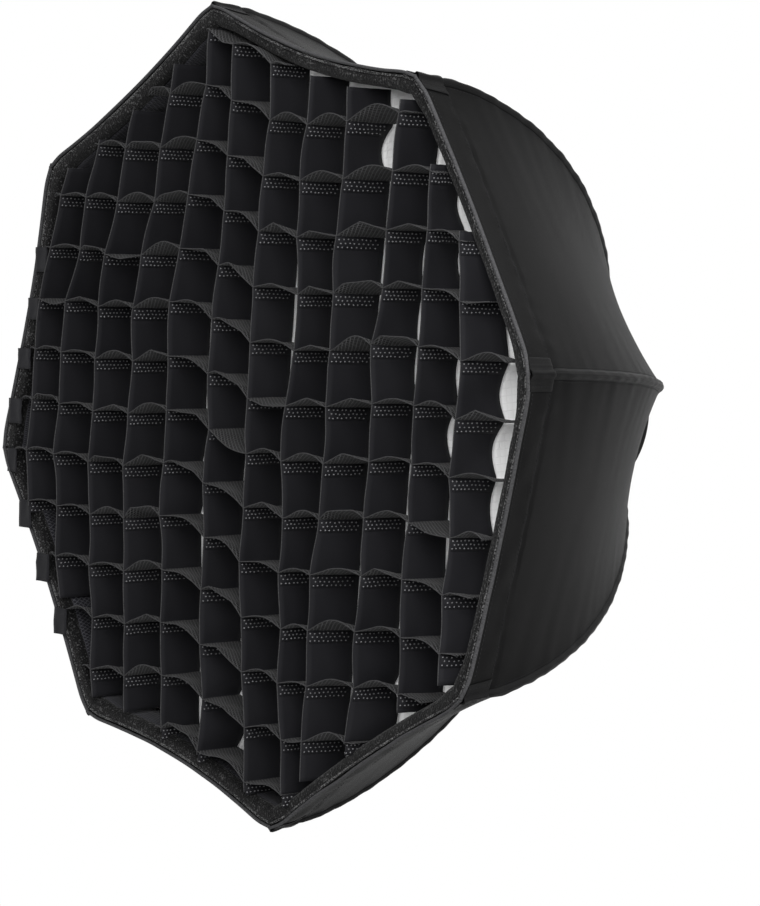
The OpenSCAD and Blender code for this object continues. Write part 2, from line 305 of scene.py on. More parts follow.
def pile(name, dark, light, scale=900.0, share=0.62):
    """Looped pile: dark, with bright specks where loops catch the light."""
    material, tree, shader = new_material(name, dark, 0.85, gloss=0.1)
    fine = noise_node(tree, scale, 2.0)
    coarse = noise_node(tree, 60.0, 2.0)
    fuzz = math_node(tree, "ADD", math_node(tree, "MULTIPLY", fine, 0.8),
                     math_node(tree, "MULTIPLY", coarse, 0.2))
    stops = [(share - 0.14, dark), (share, light)]
    tree.links.new(ramp(tree, fuzz, stops), shader.inputs["Base Color"])
    shader.inputs["Sheen Weight"].default_value = 0.06
    bump(tree, shader, fine, 0.0012)
    return material


def thread(name, colour, gloss=0.1):
    """Sewing thread and cut edges: twisted fibres, with a painted highlight that makes their crowns
    lighter.
    """
    material, tree, shader = new_material(name, colour, 0.6, gloss=gloss)
    fibre = noise_node(tree, 700.0, 2.0, (1, 1, 3))
    low = tuple(c * 0.55 for c in colour)
    high = tuple(c * 1.35 for c in colour)
    # Painted highlight: the bump's height also sets the colour, so the raised crowns of the fibres are
    # painted lighter.
    tree.links.new(ramp(tree, fibre, [(0.3, low), (0.7, high)]), shader.inputs["Base Color"])
    bump(tree, shader, fibre, 0.0002)
    return material


def coated_lining(name):
    """Silver coating on cloth, finely pebbled and creased."""
    material, tree, shader = new_material(name, (0.75, 0.75, 0.77), 0.32, 0.85)
    pebbles = noise_node(tree, 420.0, 3.0)
    creases = noise_node(tree, 35.0, 4.0, (1, 1, 2))
    tone = math_node(tree, "ADD", math_node(tree, "MULTIPLY", pebbles, 0.4),
                     math_node(tree, "MULTIPLY", creases, 0.6))
    tree.links.new(ramp(tree, tone, [(0.3, grey(0.55)), (0.7, grey(0.82))]),
                   shader.inputs["Base Color"])
    tree.links.new(math_node(tree, "ADD", math_node(tree, "MULTIPLY", creases, 0.3), 0.2),
                   shader.inputs["Roughness"])
    bump(tree, shader, tone, 0.0008)
    return material


def diffuser_cloth(name):
    """White ripstop: a fine weave with a thicker thread every 5 mm."""
    material, tree, shader = new_material(name, grey(0.86), 0.7)
    u, v = cloth_uv(tree)
    fine = math_node(tree, "MULTIPLY", wave(tree, u, 0.8), wave(tree, v, 0.8))
    ribs = math_node(tree, "MAXIMUM", math_node(tree, "POWER", wave(tree, u, 5.0), 24.0),
                     math_node(tree, "POWER", wave(tree, v, 5.0), 24.0))
    height = math_node(tree, "ADD", math_node(tree, "MULTIPLY", fine, 0.3), ribs)
    tree.links.new(ramp(tree, height, [(0.0, grey(0.92)), (1.0, grey(0.86))]),
                   shader.inputs["Base Color"])
    shader.inputs["Sheen Weight"].default_value = 0.2
    bump(tree, shader, height, 0.00015)
    return material


def moulded_plastic(name, colour, roughness, grain=1400.0):
    """Plastic with a fine moulded grain, rubbed shinier in patches."""
    material, tree, shader = new_material(name, colour, roughness)
    texture = noise_node(tree, grain, 2.0)
    wear = noise_node(tree, 45.0, 3.0)
    low = tuple(c * 0.8 for c in colour)
    high = tuple(c * 1.4 + 0.004 for c in colour)
    tree.links.new(ramp(tree, wear, [(0.3, low), (0.75, high)]), shader.inputs["Base Color"])
    tree.links.new(math_node(tree, "ADD", math_node(tree, "MULTIPLY", wear, -0.25), roughness + 0.12),
                   shader.inputs["Roughness"])
    bump(tree, shader, texture, 0.00012)
    return material


def worked_metal(name, colour, roughness, stretch):
    """Metal with fine tool lines along one direction and faint smudges."""
    material, tree, shader = new_material(name, colour, roughness, 1.0)
    lines = noise_node(tree, 900.0, 2.0, stretch)
    smudge = noise_node(tree, 40.0, 3.0)
    low = tuple(c * 0.82 for c in colour)
    tree.links.new(ramp(tree, smudge, [(0.3, low), (0.7, colour)]), shader.inputs["Base Color"])
    tree.links.new(math_node(tree, "ADD", math_node(tree, "MULTIPLY", lines, 0.25), roughness - 0.1),
                   shader.inputs["Roughness"])
    bump(tree, shader, lines, 0.00003)
    return material


COVER = woven_cloth("black_nylon", grey(0.0015, 0.04), grey(0.0045, 0.02), 0.45, 0.6, 0.006,
                    gloss=0.03)
LINING = coated_lining("silver_lining")
SEAM = woven_cloth("seam_tape", grey(0.002, 0.04), grey(0.006, 0.03), 0.45, 0.9, 0.01, 0.00012, 0.05)
PIPING = thread("piping", grey(0.04, 0.04), 0.03)
THREAD = thread("black_thread", grey(0.016, 0.05))
GRID_THREAD = thread("grid_thread", grey(0.17, 0.03))
# Partly painted highlight: the strips' bound front edges are painted lighter grey than the strips, for
# the light along the edges as well as the binding thread's own grey.
GRID_EDGE = thread("grid_edge", grey(0.035, 0.03))
GRID_COLUMN = woven_cloth("grid_cloth", grey(0.007, 0.2), grey(0.014, 0.14), 0.7, 0.7, 0.03,
                          gloss=0.08)
GRID_MESH = mesh_cloth("grid_mesh", grey(0.001, 0.1), grey(0.06, 0.03), 2.8)
WALL_MESH = mesh_cloth("wall_mesh", grey(0.010, 0.3), grey(0.045, 0.12), 2.6)
PILE = pile("loop_pile", grey(0.004, 0.1), grey(0.11))
HOOK = pile("hook_tape", grey(0.0015, 0.1), grey(0.06), 700.0, 0.7)
DIFFUSER = diffuser_cloth("white_ripstop")
PLASTIC = moulded_plastic("black_moulding", grey(0.022, 0.05), 0.5)
RED = moulded_plastic("red_moulding", (0.45, 0.03, 0.02), 0.35, 900.0)
BUSH = moulded_plastic("bush_moulding", (0.72, 0.68, 0.56), 0.45)
TURNED = worked_metal("turned_aluminium", (0.72, 0.72, 0.74), 0.3, (1, 18, 1))
STEEL = worked_metal("plain_steel", (0.42, 0.42, 0.44), 0.35, (1, 6, 1))
ROD = worked_metal("black_rod", (0.06, 0.06, 0.065), 0.38, (1, 4, 1))

NODE_MATERIALS = {
    "black_plastic": PLASTIC, "satin_metal": TURNED, "dark_steel": STEEL,
    "red_plastic": RED, "bush_plastic": BUSH, "rib_rod": ROD,
}
for part in frame["record"]["subparts"]:
    if part["material_slot"] in NODE_MATERIALS:
        kept = frame["nodes"][part["node"]]
        kept.data.materials.clear()
        kept.data.materials.append(NODE_MATERIALS[part["material_slot"]])


# ---- The sewn shell ----

def arc_share(length):
    """The share f of the way back that a length along the rib arc is."""
    return length / ARC_LEN


def chord(f):
    """The straight distance between two ribs at f."""
    a = FRONT_A + f * (BACK_A - FRONT_A)
    return 2 * (SHELL_R * cos(a) - ARC_PAST) * sin(radians(HALF))


def turn(x, y, z, angle):
    """A point of a rib's plane, turned round the axis to the rib's angle."""
    a = radians(angle)
    return Vector((x * cos(a) - z * sin(a), y, x * sin(a) + z * cos(a)))


def corner_round(f, w):
    near = min(w, 1 - w) * chord(f)
    return CORNER_ROUND * exp(-(near / 11) ** 2) * exp(-(f * ARC_LEN / 30) ** 2)


def shell_base(k, f, w):
    """A point of panel k without its small folds: f from the hem to the back, w from rib k on."""
    a = FRONT_A + f * (BACK_A - FRONT_A)
    r = -ARC_PAST + SHELL_R * cos(a) - corner_round(f, w)
    y = CENTRE_Y + SHELL_R * sin(a)
    hollow = 4 * w * (1 - w)
    pull = (PANEL_SAG * 4 * f * (1 - f) + HEM_SAG[k - 1] * (1 - f) ** 1.5) * hollow
    x = r * (1 - w + w * cos(radians(STEP))) - pull * cos(radians(HALF))
    z = -r * w * sin(radians(STEP)) + pull * sin(radians(HALF))
    return turn(x, y + HEM_BACK[k - 1] * (1 - f) ** 2 * hollow, z, rib_angle(k))


def outward(k, f, w):
    """The outward direction of panel k."""
    f0, f1 = max(f - 0.01, 0), min(f + 0.01, 1)
    w0, w1 = max(w - 0.02, 0), min(w + 0.02, 1)
    back = shell_base(k, f1, w) - shell_base(k, f0, w)
    across = shell_base(k, f, w1) - shell_base(k, f, w0)
    return back.cross(across).normalized() * -1


def folds(k, f, w):
    """How far the cloth stands out of the smooth shape."""
    s = f * ARC_LEN
    across = w * chord(f)
    to_seam = min(w, 1 - w) * chord(f)
    side = 1 if w < 0.5 else -1
    hollow = 4 * w * (1 - w)
    pucker = 0.2 * sin(2 * pi * s / 17 + k + side) * exp(-to_seam / 8) * min(s / 12, 1)
    soft = 1.5 * hollow * noise.noise(Vector((across / 95 + 7 * k, s / 120, 3.1)))
    drawn = noise.noise(Vector((to_seam / 60 - s / 15, s / 90, k * 5.3 + side)))
    pull = 0.7 * exp(-to_seam / 42) * drawn
    band = exp(-((s - HEM_SEAM / 2) / (HEM_SEAM / 2.6)) ** 2)
    loose = noise.noise(Vector((across / 26 + s / 60, s / 60, k * 3.7)))
    hem = HEM_FOLDS[k - 1] * band * loose * 1.6
    tucks = 0.35 * sin(2 * pi * across / 19 + 2 * k) * exp(-((s - HEM_SEAM) / 9) ** 2)
    wander = HEM_SEAM + 2.2 * noise.noise(Vector((across / 50, k * 2.9, 0.5)))
    groove = -0.9 * exp(-((s - wander) / 1.5) ** 2) * (0.75 + 0.5 * loose)
    edge = -0.5 * exp(-(to_seam / 3.4) ** 2)
    return pucker + soft + pull + hem + tucks * min(to_seam / 20, 1) + groove + edge


def shell_skin(k, f, w, lift=0.0):
    return shell_base(k, f, w) + outward(k, f, w) * (folds(k, f, w) + lift)


def spread(n, crowd):
    """n + 1 shares from 0 to 1, crowded towards both ends."""
    return [i / n - crowd * sin(2 * pi * i / n) / (2 * pi) for i in range(n + 1)]


def front_spread(n, power):
    """n + 1 shares from 0 to 1, crowded towards 0."""
    return [(i / n) ** power for i in range(n + 1)]


def gore(name, k, lift, nf, nw, material, first=0.0):
    fs = [first + (1 - first) * f for f in front_spread(nf, 1.35)]
    ws = spread(nw, 0.55)
    points = []
    uv = []
    for f in fs:
        for w in ws:
            points.append(shell_skin(k, f, w, lift))
            uv.append(((w - 0.5) * chord(f), f * ARC_LEN))
    return add(name, points, lattice(len(fs), len(ws)), material, uv=uv)


def crumple(piece):
    """Gives the piece its own copy of its mesh."""
    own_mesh(piece)


def make_panel(k):
    cover = solidify(gore(f"cover_{k}", k, 0.0, 96, 48, COVER), COVER_T)
    outfit(cover, f"rib_{k}")
    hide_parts(f"panel_{k}")
    crumple(cover)
    lining = solidify(gore(f"lining_{k}", k, -COVER_T - LINING_GAP, 48, 24, LINING, arc_share(8)),
                      LINING_T)
    outfit(lining, f"rib_{k}")
    crumple(lining)


def make_piping(k):
    """The bound front edge of panel k."""
    bag = Bag()
    path = [shell_skin(k, 0, w, -0.5) for w in spread(72, 0.4)]
    bag.tube(path, 1.15, 8, 1.35)
    piece = bag.add(f"hem_piping_{k}", PIPING)
    outfit(piece, f"rib_{k}")
    crumple(piece)


def make_hem(k):
    """The loop tape on the inside of panel k's front edge."""
    rows, cols = 12, 64
    first, last = arc_share(0.6), arc_share(24)
    inset = COVER_T + LINING_GAP + LINING_T + 0.4
    points = []
    for i in range(rows + 1):
        f = first + (last - first) * i / rows
        trim = 2 / chord(f)
        for j in range(cols + 1):
            w = trim + (1 - 2 * trim) * j / cols
            rough = 0.35 * noise.noise(Vector((i * 1.7, j * 1.3, k)))
            points.append(shell_base(k, f, w) - outward(k, f, w) * (inset + rough))
    piece = solidify(add(f"hem_loops_{k}", points, lattice(rows + 1, cols + 1), PILE), 1.6)
    outfit(piece, f"rib_{k}")
    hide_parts(f"hem_{k}")
    crumple(piece)


def make_hem_stitches(k):
    """Two lines of stitches: one by the piping and one along the hem seam."""
    bag = Bag()
    spacing, margin = 3.1, 12
    for s in (4.5, HEM_SEAM - 2.2):
        f = arc_share(s)
        width = chord(f)
        count = int((width - 2 * margin) / spacing)
        for i in range(count):
            w = (margin + i * spacing) / width
            out = outward(k, f, w)
            across = (shell_base(k, f, w + 0.01) - shell_base(k, f, w)).normalized()
            at = shell_skin(k, f, w)
            bag.stitch(at, across, across.cross(out), out, 2.3, 0.55, 0.32)
    piece = bag.add(f"hem_stitches_{k}", THREAD)
    outfit(piece, f"rib_{k}")
    crumple(piece)


def around_rib(k, s, z, lift):
    """A point on the outside of the shell, z millimetres to one side of rib k's line."""
    f = arc_share(s)
    width = chord(f)
    if z >= 0:
        return shell_skin(k, f, z / width, lift)
    before = (k - 2) % RIBS + 1
    return shell_skin(before, f, 1 + z / width, lift)


def make_rib_seam(k):
    """The raised seam that holds rib k, from the pocket at its tip to the hub."""
    lengths = [2 + (ARC_LEN - 4) * i / 120 for i in range(121)]
    offsets = [-4.6, -3.3, -2.2, -1.1, 0, 1.1, 2.2, 3.3, 4.6]
    heights = [-0.5, 0.35, 1.25, 1.75, 1.95, 1.75, 1.25, 0.35, -0.5]
    points = []
    uv = []
    for s in lengths:
        settle = 0.22 * noise.noise(Vector((s / 30, k, 0)))
        for z, h in zip(offsets, heights):
            points.append(around_rib(k, s, z, h + 0.5 + settle * (h > 0)))
            uv.append((z, s))
    strip = add(f"rib_seam_{k}", points, lattice(len(lengths), len(offsets)), SEAM, uv=uv)
    piece = solidify(strip, 0.6)
    outfit(piece, f"rib_{k}")
    bag = Bag()
    first, after_last, spacing = 32, 12, 3.4
    for side in (-1, 1):
        for i in range(int((ARC_LEN - (first + after_last)) / spacing)):
            s = first + i * spacing
            z = side * 5.6
            at = around_rib(k, s, z, 0.05)
            along = (around_rib(k, s + 1, z, 0.05) - at).normalized()
            out = (around_rib(k, s, z, 1.05) - at).normalized()
            bag.stitch(at, along, along.cross(out), out, 2.5, 0.6, 0.2)
    outfit(bag.add(f"rib_stitches_{k}", THREAD), f"rib_{k}")


def make_pocket(k):
    """The folded pocket round the tip of rib k, with its raised edges and its stitches."""
    length, half_width = HEM_SEAM - 1.5, 12.5
    rows, cols = 26, 40
    points = []
    uv = []
    for i in range(rows + 1):
        s = 0.6 + (length - 0.6) * i / rows
        for j in range(cols + 1):
            z = half_width * (2 * j / cols - 1)
            ridge = 2.2 * exp(-(z / 2.6) ** 2)
            rims = 0.3 * (exp(-((abs(z) - 6.2) / 0.9) ** 2) + exp(-((abs(z) - 11.6) / 1.0) ** 2))
            edge = -0.3 * exp(-((abs(z) - half_width) / 1.0) ** 2)
            edge -= 0.3 * exp(-((s - length) / 2) ** 2)
            points.append(around_rib(k, s, z, 0.85 + ridge + rims + edge))
            uv.append((z, s))
    cloth = add(f"corner_pocket_{k}", points, lattice(rows + 1, cols + 1), SEAM, uv=uv)
    outfit(solidify(cloth, 0.8), f"rib_{k}")
    bag = Bag()
    for z in (-9, -4.4, 4.4, 9):
        for i in range(7):
            s = 3.5 + i * 3.1
            at = around_rib(k, s, z, 0.8)
            along = (around_rib(k, s + 1, z, 0.8) - at).normalized()
            out = (around_rib(k, s, z, 1.8) - at).normalized()
            bag.stitch(at, along, along.cross(out), out, 2.2, 0.6, 0.35)
    outfit(bag.add(f"pocket_stitches_{k}", THREAD), f"rib_{k}")


# ---- Front outlines ----

def outline_point(r, k, w, y):
    """A point of the front outline whose corner radius is r. y is measured from the hem."""
    a, b, middle = (radians(rib_angle(k) - part) for part in (0, STEP, HALF))
    hollow = 4 * w * (1 - w)
    pull = hollow * HEM_SAG[k - 1]
    width = 2 * r * sin(radians(HALF))
    most = CORNER_ROUND + (FRONT_R - r) * 0.12
    reach = 11 + (FRONT_R - r) * 0.4
    in_a = most * exp(-(w * width / reach) ** 2)
    in_b = most * exp(-((1 - w) * width / reach) ** 2)
    x = r * ((1 - w) * cos(a) + w * cos(b)) - pull * cos(middle) - in_a * cos(a) - in_b * cos(b)
    z = r * ((1 - w) * sin(a) + w * sin(b)) - pull * sin(middle) - in_a * sin(a) - in_b * sin(b)
    return Vector((x, FRONT_Y + y + HEM_BACK[k - 1] * hollow, z))


def outline(r, y, per_side):
    return [outline_point(r, k, w, y) for k in range(1, RIBS + 1)
            for w in spread(per_side, 0.35)[:-1]]


def ring_sheet(name, steps, per_side, material, roughen=0.0):
    """A band round the front: one outline for each (radius, y) step."""
    points = []
    uv = []
    for i, (r, y) in enumerate(steps):
        for j, p in enumerate(outline(r, y, per_side)):
            shake = roughen * noise.noise(Vector((i * 2.3, j * 0.9, r)))
            points.append(p + Vector((0, -shake, 0)))
            uv.append((j * chord(0) / per_side, y + r))
    cols = RIBS * per_side
    return add(name, points, lattice(len(steps), cols, True), material, uv=uv)


# ---- The egg-crate grid ----

# How each column lies: its shift at mid height, how far it bends across for each millimetre above
# and below, and how far up its crossings have slipped, as a share of the row pitch
COLUMN_LIE = {
    -6: (14, 0.30, 0.15, 0.70), -5: (5, 0.25, 0.15, 0.66), -4: (2, 0.19, 0.12, 0.57),
    -3: (1, 0.17, 0.09, 0.56), -2: (2, 0.125, 0.09, 0.69), -1: (6, 0.035, 0.07, 0.39),
    0: (6, 0.01, 0.11, 0.0), 1: (6, 0.0, 0.095, -0.11), 2: (0, 0.03, 0.0, -0.08),
    3: (3, 0.06, 0.0, 0.03), 4: (1, 0.02, 0.06, 0.04), 5: (0, -0.12, 0.0, -0.16),
}
COLUMNS = sorted(COLUMN_LIE)
ROWS = range(-8, 8)
BEND_FROM = 60                       # how far from mid height a column starts to bend
# How far across a column's back edge lies from its front edge
BACK_LEAN = {2: 6.5, 3: 3.0, 4: 3.5, 5: 8.0}
# Cells, by column and by the row below, where the back edge bows: to the left it bares the diffuser
BOWS = {(2, 4): -11, (2, 5): -6, (3, 0): -2, (3, 1): -2, (3, 2): -3, (4, -1): -8, (4, 0): -5,
        (4, 2): -6, (4, 3): -10, (5, 0): -9, (5, -1): -9, (5, -2): -5, (5, -3): -3, (3, -5): 7,
        (3, -6): 8, (-1, -5): 6, (-1, -6): 9, (-1, -7): 9, (-2, -3): 5, (-2, -2): 4}
HEM_SLIP = 1.12                      # how far a set-back strip end also lies to the left of its line
FLAPS_FROM = -215                    # rows that start to the left of this have a folded end

dice = random.Random(11)
COLUMN_ALONG = Vector((sin(radians(COLUMN_TURN)), 0, cos(radians(COLUMN_TURN))))
COLUMN_ACROSS = Vector((cos(radians(COLUMN_TURN)), 0, -sin(radians(COLUMN_TURN))))
ROW_ALONG = Vector((cos(radians(ROW_TURN)), 0, -sin(radians(ROW_TURN))))
ROW_UP = Vector((sin(radians(ROW_TURN)), 0, cos(radians(ROW_TURN))))
KINKS = {(i, j): dice.gauss(0, 2.0) for i in COLUMNS for j in range(-11, 12)}
BELLIES = {(i, j): dice.gauss(0, 0.9) for i in COLUMNS for j in range(-11, 12)}
STRIPS_OUTLINE = outline(STRIPS_R, 0, 12)


def inside(point):
    """Whether a point is inside the strips' outline, in the front view."""
    within = False
    for p, q in zip(STRIPS_OUTLINE, STRIPS_OUTLINE[1:] + STRIPS_OUTLINE[:1]):
        if (p.z > point.z) != (q.z > point.z):
            if point.x < p.x + (q.x - p.x) * (point.z - p.z) / (q.z - p.z):
                within = not within
    return within


def last_inside(near, far):
    """The last point inside the outline on the way from near, which is inside, to far."""
    low, high = 0.0, 1.0
    for _ in range(12):
        middle = (low + high) / 2
        if inside(near.lerp(far, middle)):
            low = middle
        else:
            high = middle
    return near.lerp(far, low)


def setback(point):
    """How far the hem, where it is pulled back, takes the front of the grid back with it."""
    a = atan2(point.z, point.x)
    k = floor((pi / 2 - a) / radians(STEP)) % RIBS + 1
    off = a - radians(rib_angle(k) - HALF)
    off = atan2(sin(off), cos(off))
    reach = hypot(point.x, point.z) * cos(off) / (STRIPS_R * cos(radians(HALF)))
    share = 0.5 - tan(off) / tan(radians(HALF)) / 2
    return HEM_BACK[k - 1] * 4 * share * (1 - share) * min(reach, 1) ** 3


def column_base(i, s):
    """A point of column i's line in the front view, s along it."""
    shift, above, below, _ = COLUMN_LIE[i]
    bend = above * max(0, s - BEND_FROM) + below * max(0, -s - BEND_FROM)
    point = COLUMN_ACROSS * (i * COLUMN_PITCH + COLUMN_SHIFT + shift + bend) + COLUMN_ALONG * s
    return point - Vector((HEM_SLIP * setback(point), 0, 0))


def column_ends(i):
    inner = [s for s in range(-300, 301, 2) if inside(column_base(i, s))]
    return (min(inner), max(inner)) if len(inner) > 8 else None


def row_place(i, s):
    """How many rows up column i's line has come at s, as a fraction."""
    return (column_base(i, s).dot(ROW_UP) - ROW_SHIFT) / ROW_PITCH - COLUMN_LIE[i][3]


def column_point(i, s, d, out=0.0):
    """A point of column i: s along it, d from its front edge (0) to its back edge (1)."""
    place = row_place(i, s)
    j = floor(place)
    t = place - j
    kink = KINKS[i, j] * (1 - t) + KINKS[i, j + 1] * t
    belly = BELLIES[i, j] * sin(pi * t)
    lean = (kink + belly) * (1 - 0.8 * d)
    lean += d * (BACK_LEAN.get(i, 0) + BOWS.get((i, j), 0) * sin(pi * t))
    fold = 0.8 * noise.noise(Vector((s / 26, d * 1.4, i * 7.7)))
    front = 1.3 * noise.noise(Vector((s / 33, 9.1, i * 3.3))) * (1 - d)
    base = column_base(i, s)
    y = GRID_FRONT + d * GRID_DEPTH + front + setback(base) * (1 - d)
    return base + COLUMN_ACROSS * (lean + fold + out) + Vector((0, y, 0))


def crossing(i, j):
    """How far along column i row j crosses it."""
    s = 0.0
    for _ in range(4):
        s += (j - row_place(i, s)) * ROW_PITCH / COLUMN_ALONG.dot(ROW_UP)
    return s


def arch(kind, t, peak):
    """The height of a slack row between two columns, from 0 to 1."""
    if kind == "tent":
        return t / peak if t < peak else (1 - t) / (1 - peak)
    if kind == "flat":
        return min(1, t / 0.22, (1 - t) / 0.22) ** 0.8
    bent = t ** (0.5 / max(peak, 0.2) if peak < 0.5 else 1.25)
    return sin(pi * bent)


def make_columns():
    strips = Bag()
    edges = Bag()
    uv = []
    depth_steps = 8
    for i in COLUMNS:
        ends = column_ends(i)
        n = ceil((ends[1] - ends[0]) / 3.2)
        start = len(strips.points)
        for a in range(n + 1):
            s = ends[0] + (ends[1] - ends[0]) * a / n
            for b in range(depth_steps + 1):
                strips.points.append(column_point(i, s, b / depth_steps))
                uv.append((b / depth_steps * GRID_DEPTH, s))
        strips.faces += lattice(n + 1, depth_steps + 1, start=start)
        path = [column_point(i, ends[0] + (ends[1] - ends[0]) * a / n, 0) for a in range(n + 1)]
        edges.tube(path, EDGE_R, 6, 1.6)
    cloth = add("grid_cloth_columns", strips.points, strips.faces, GRID_COLUMN, uv=uv)
    piece = solidify(cloth, STRIP_T, 0)
    outfit(piece, "grid")
    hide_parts("grid_columns")
    outfit(edges.add("grid_column_edges", GRID_EDGE), "grid")


def row_stops(j):
    """The places that hold row j, from left to right: the border, columns, and the border again."""
    marks = [(i, column_base(i, crossing(i, j))) for i in COLUMNS]
    marks = [(None, marks[0][1] - ROW_ALONG * 80)] + marks + [(None, marks[-1][1] + ROW_ALONG * 80)]
    held = [inside(point) for _, point in marks]
    stops = []
    for n, (i, point) in enumerate(marks):
        if not held[n]:
            continue
        if not held[n - 1]:
            stops.append((None, last_inside(point, marks[n - 1][1])))
        stops.append((i, point))
        if not held[n + 1]:
            stops.append((None, last_inside(point, marks[n + 1][1])))
    return stops


def stop_point(stop, j, d):
    i, point = stop
    if i is None:
        y = GRID_FRONT + d * GRID_DEPTH + (3 + setback(point)) * (1 - d)
        return Vector((point.x, y, point.z))
    return column_point(i, crossing(i, j), d)


def make_rows():
    strips = Bag()
    edges = Bag()
    uv = []
    depth_steps, cell_steps = 7, 14
    for j in ROWS:
        stops = row_stops(j)
        line = []
        travelled = 0.0
        for a, b in zip(stops, stops[1:]):
            width = (b[1] - a[1]).length
            span = width / COLUMN_PITCH
            kind = dice.choice(["arc", "arc", "arc", "tent", "tent", "flat", "skew"])
            peak = dice.uniform(0.28, 0.62)
            height = dice.uniform(4, 8.5) * min(span, 1) * (-0.5 if dice.random() < 0.05 else 1)
            fall = dice.uniform(0.75, 1.0)
            if a[0] is None or a[0] < -1:
                peak = 1.05 - peak
            shift = dice.uniform(-0.08, 0.12)
            for c in range(cell_steps if b is not stops[-1] else cell_steps + 1):
                t = c / cell_steps
                cut = []
                for e in range(depth_steps + 1):
                    d = e / depth_steps
                    here = stop_point(a, j, d).lerp(stop_point(b, j, d), t)
                    top = min(max(peak + shift * d, 0.2), 0.8)
                    rise = height * (1 - fall * min(d * 1.6, 1)) * arch(kind, t, top)
                    rise += 0.35 * noise.noise(here / 9)
                    here += ROW_UP * rise - Vector((0, 1.5 * sin(pi * t) * (1 - d), 0))
                    cut.append(here)
                    uv.append((d * GRID_DEPTH, travelled + width * t))
                line.append(cut)
            travelled += width
        if not line:
            continue
        start = len(strips.points)
        for cut in line:
            strips.points += cut
        strips.faces += lattice(len(line), depth_steps + 1, start=start)
        edges.tube([cut[0] for cut in line], EDGE_R, 6, 1.6)
    cloth = add("grid_mesh_rows", strips.points, strips.faces, GRID_MESH, uv=uv)
    piece = solidify(cloth, STRIP_T * 0.7, 0)
    outfit(piece, "grid")
    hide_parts("grid_rows")
    outfit(edges.add("grid_row_edges", GRID_EDGE), "grid")


def make_tabs():
    """Under each crossing the row is folded down and sewn to the column by three lines."""
    tabs = Bag()
    beads = Bag()
    tab_uv = []
    high, steps = 9.5, 6
    for j in ROWS:
        for i, _ in row_stops(j):
            if i is None:
                continue
            s = crossing(i, j)
            start = len(tabs.points)
            for a in range(3):
                for b in range(steps + 1):
                    tabs.points.append(column_point(i, s + 0.4 - high * a / 2, 0.02 + 0.96 * b / steps,
                                                    STRIP_T / 2 + 0.3))
                    tab_uv.append((b / steps * GRID_DEPTH, -high * a / 2))
            tabs.faces += lattice(3, steps + 1, start=start)
            count = int((GRID_DEPTH - 3) / STITCH_PITCH)
            for line in range(3):
                for b in range(count):
                    d = 2 + (b + 0.5 * (line % 2)) * STITCH_PITCH + dice.uniform(-0.3, 0.3)
                    d /= GRID_DEPTH
                    drop = 2.0 + line * 2.7 + dice.uniform(-0.25, 0.25)
                    for side in (1, -1):
                        at = column_point(i, s - drop, d, side * STRIP_T / 2 + (0.5 if side > 0 else 0))
                        beads.stitch(at, Vector((0, 1, 0)), COLUMN_ALONG, COLUMN_ACROSS * side,
                                     1.9, 1.25, 0.6)
    piece = solidify(add("grid_tabs", tabs.points, tabs.faces, GRID_COLUMN, uv=tab_uv), 0.4, 0)
    outfit(piece, "grid")
    outfit(beads.add("grid_stitches", GRID_THREAD, smooth=False), "grid")


def make_end_flaps():
    """The left ends of the rows, folded flat over the border and sewn down."""
    flaps = Bag()
    uv = []
    chance = random.Random(5)
    steps = 6
    for j in ROWS:
        stops = row_stops(j)
        if not stops or stops[0][0] is not None or stops[0][1].x > FLAPS_FROM:
            continue
        held = stops[0][1]
        reach = chance.uniform(13, 18)
        drop = chance.uniform(15, 22)
        start = len(flaps.points)
        for a in range(steps + 1):
            for b in range(steps + 1):
                along = 2 - (reach + 2) * a / steps
                down = -drop * b / steps
                at = held + ROW_ALONG * along + ROW_UP * down
                rumple = noise.noise(Vector((a / 2, b / 2, j * 3.1)))
                rise = 2.2 * (1 - a / steps) ** 2 + 0.9 * rumple
                flaps.points.append(Vector((at.x, FRONT_Y + 0.2 - rise, at.z)))
                uv.append((along, down))
        flaps.faces += lattice(steps + 1, steps + 1, start=start)
    piece = solidify(add("grid_end_flaps", flaps.points, flaps.faces, GRID_COLUMN, uv=uv), 0.7, 0)
    outfit(piece, "grid")


def make_border():
    """The grid's wall and its front flange of hook tape."""
    wall = [(286.2, 30), (286.4, 20), (286.4, 12), (286.8, 5.5)]
    piece = solidify(ring_sheet("grid_wall", wall, 44, WALL_MESH), 1.4, 0)
    outfit(piece, "grid")
    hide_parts("grid_border")
    flange = [(286.6, 7), (286.8, 5), (288.5, 2.6), (291, 1.9), (294, 1.6), (296.4, 1.9)]
    outfit(solidify(ring_sheet("grid_flange", flange, 44, HOOK, 0.5), 1.4, 0), "grid")
    bag = Bag()
    out = Vector((0, -1, 0))
    for r, y in ((294.6, 1.0), (289.5, 1.3)):
        path = outline(r, y, 80)
        for n, at in enumerate(path):
            along = (path[(n + 1) % len(path)] - at).normalized()
            bag.stitch(at, along, along.cross(out), out, 2.1, 0.6, 0.35)
    outfit(bag.add("flange_stitches", THREAD), "grid")


# ---- The diffuser ----

